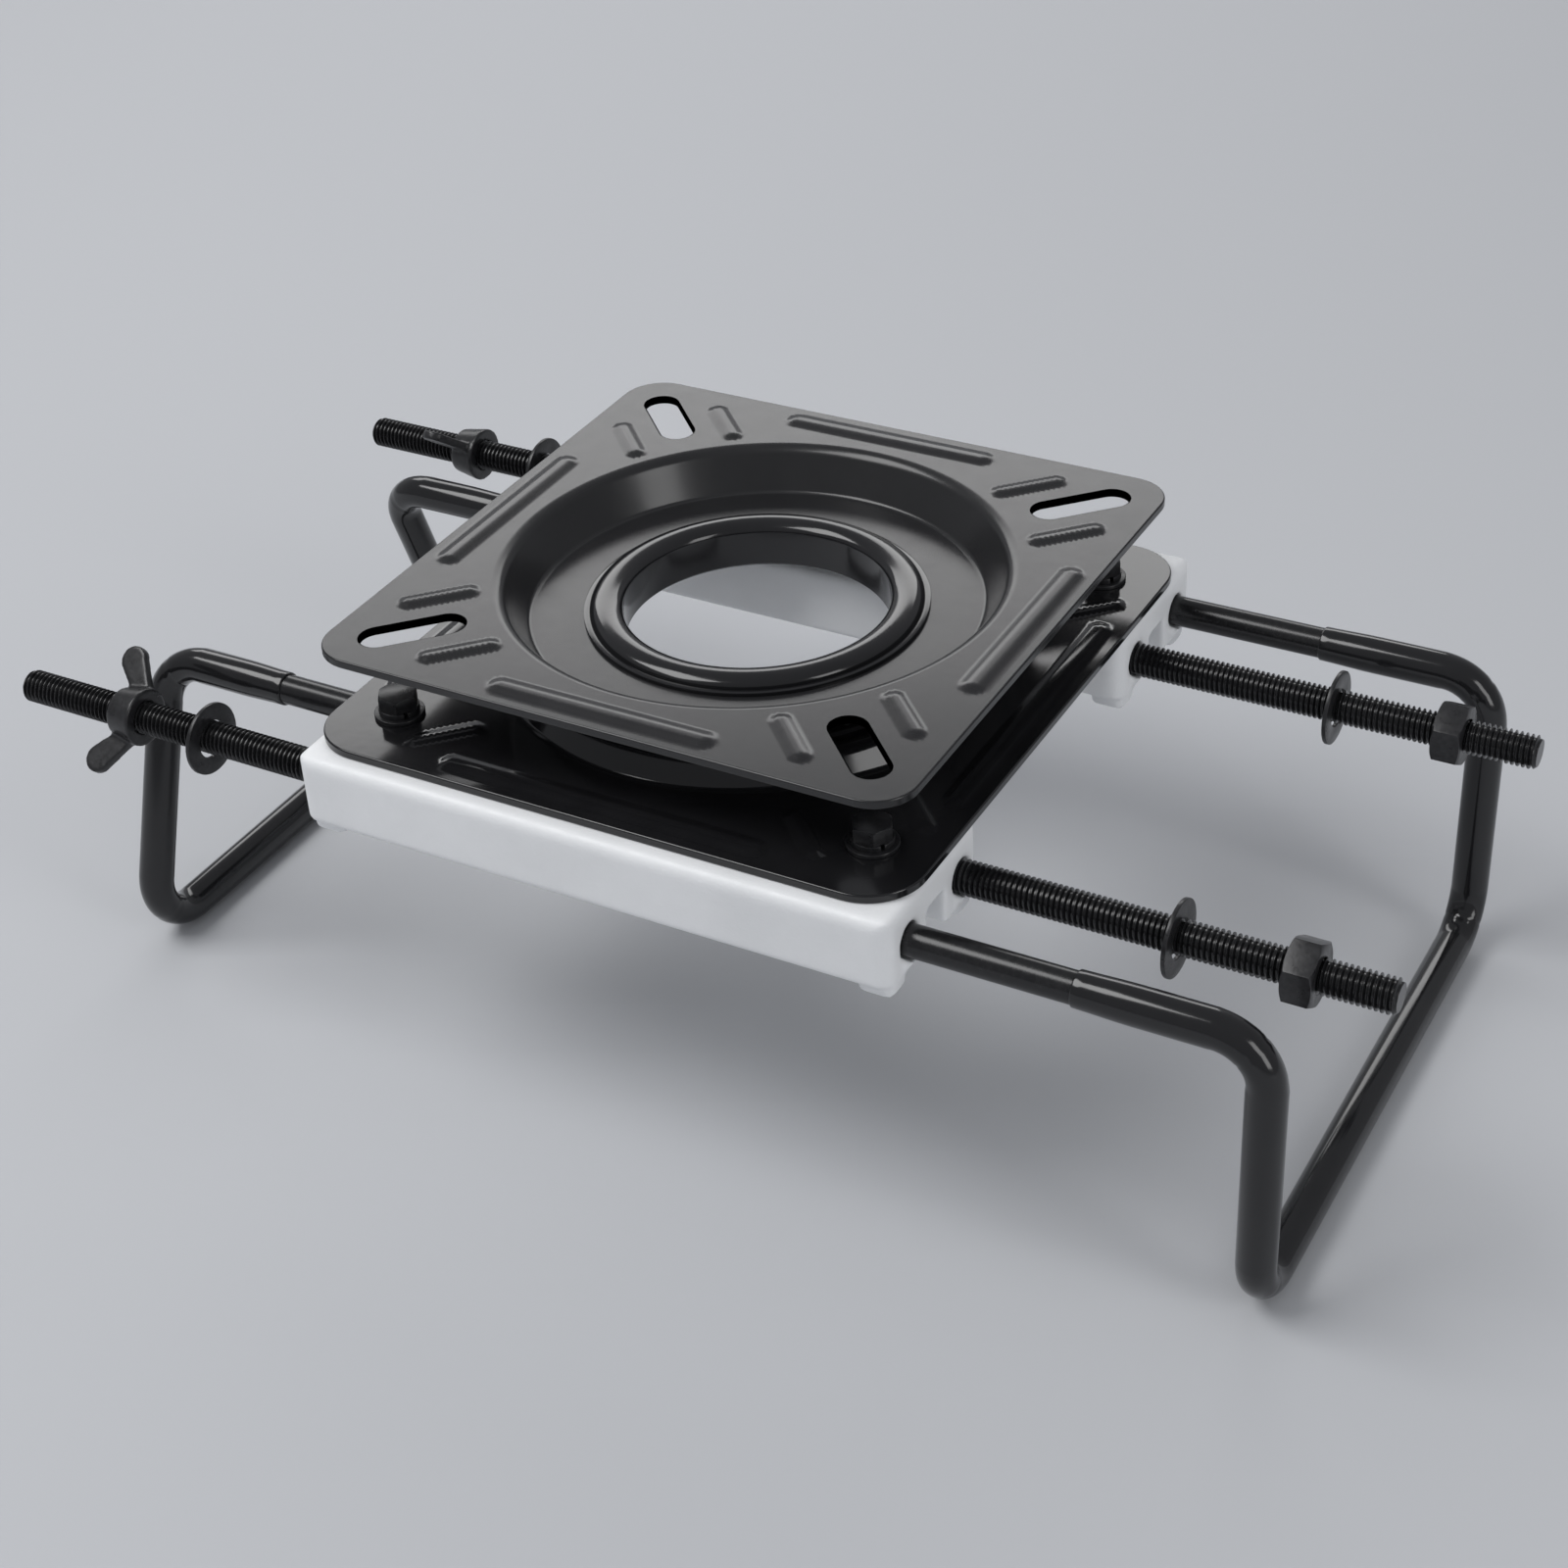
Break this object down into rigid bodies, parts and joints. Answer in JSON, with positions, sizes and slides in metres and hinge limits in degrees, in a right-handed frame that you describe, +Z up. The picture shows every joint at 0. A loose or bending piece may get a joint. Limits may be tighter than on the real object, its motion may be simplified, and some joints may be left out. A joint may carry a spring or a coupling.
{
  "type": "swivel seat base",
  "caption": "Low swivel base for a caravan or boat seat: a ball-race turntable on two moulded blocks, held by sliding bent-tube frames.",
  "frame": {"origin": "on the floor, straight below the swivel axis", "axes": "+X along the rods towards the wide frame, +Y across the rods, +Z up along the swivel axis"},
  "size_m": [0.4035, 0.2044, 0.1305],
  "materials": {
    "black_paint": "gloss black stoving enamel",
    "black_zinc": "black oxide, satin",
    "bright_steel": "polished",
    "white_plastic": "fine matte moulding",
    "cage_plastic": "matte"
  },
  "bodies": {
    "base": {"front_block": "white_plastic", "rear_block": "white_plastic", "bottom_plate": "black_paint", "hub_ring": "black_paint", "corner_bolts": "black_zinc", "corner_spring_washers": "black_zinc", "corner_washers": "black_zinc", "corner_nuts": "black_zinc"},
    "swivel_top": {"top_plate": "black_paint"},
    "ball_race": {"ball_cage": "cage_plastic", "bearing_balls": "bright_steel"},
    "wide_frame": {"wide_frame_tube": "black_paint", "wide_rod_front": "black_zinc", "wide_rod_rear": "black_zinc"},
    "narrow_frame": {"narrow_frame_tube": "black_paint", "narrow_rod_front": "black_zinc", "narrow_rod_rear": "black_zinc"},
    "wing_nut_front": {"wing_nut_front": "black_zinc"},
    "wing_nut_rear": {"wing_nut_rear": "black_zinc"},
    "hex_nut_front": {"hex_nut_front": "black_zinc"},
    "hex_nut_rear": {"hex_nut_rear": "black_zinc"},
    "wing_washer_front": {"wing_washer_front": "black_zinc"},
    "wing_washer_rear": {"wing_washer_rear": "black_zinc"},
    "hex_washer_front": {"hex_washer_front": "black_zinc"},
    "hex_washer_rear": {"hex_washer_rear": "black_zinc"}
  },
  "joints": [
    {"name": "swivel_turn", "type": "hinge", "parent": "base", "child": "swivel_top", "pos_m": [0, 0, 0.11305], "axis": [0, 0, 1], "continuous": true},
    {"name": "ball_race_turn", "type": "hinge", "parent": "base", "child": "ball_race", "pos_m": [0, 0, 0.11305], "axis": [0, 0, 1], "continuous": true},
    {"name": "wide_frame_slide", "type": "slide", "parent": "base", "child": "wide_frame", "axis": [1, 0, 0], "range_m": [-0.04, 0.032]},
    {"name": "narrow_frame_slide", "type": "slide", "parent": "base", "child": "narrow_frame", "axis": [-1, 0, 0], "range_m": [-0.03, 0.05]},
    {"name": "wing_nut_front_turn", "type": "hinge", "parent": "wide_frame", "child": "wing_nut_front", "pos_m": [-0.158, -0.087, 0.0893], "axis": [1, 0, 0], "continuous": true},
    {"name": "wing_nut_rear_turn", "type": "hinge", "parent": "wide_frame", "child": "wing_nut_rear", "pos_m": [-0.158, 0.087, 0.0893], "axis": [1, 0, 0], "continuous": true},
    {"name": "hex_nut_front_turn", "type": "hinge", "parent": "narrow_frame", "child": "hex_nut_front", "pos_m": [0.183, -0.0575, 0.0893], "axis": [1, 0, 0], "continuous": true},
    {"name": "hex_nut_rear_turn", "type": "hinge", "parent": "narrow_frame", "child": "hex_nut_rear", "pos_m": [0.183, 0.0575, 0.0893], "axis": [1, 0, 0], "continuous": true},
    {"name": "wing_washer_front_slide", "type": "slide", "parent": "wide_frame", "child": "wing_washer_front", "axis": [1, 0, 0], "range_m": [-0.02, 0.003]},
    {"name": "wing_washer_rear_slide", "type": "slide", "parent": "wide_frame", "child": "wing_washer_rear", "axis": [1, 0, 0], "range_m": [-0.02, 0.003]},
    {"name": "hex_washer_front_slide", "type": "slide", "parent": "narrow_frame", "child": "hex_washer_front", "axis": [1, 0, 0], "range_m": [-0.004, 0.026]},
    {"name": "hex_washer_rear_slide", "type": "slide", "parent": "narrow_frame", "child": "hex_washer_rear", "axis": [1, 0, 0], "range_m": [-0.004, 0.026]}
  ],
  "couplings": [
    {"joint": "ball_race_turn", "follows": "swivel_turn", "ratio": 0.5}
  ]
}
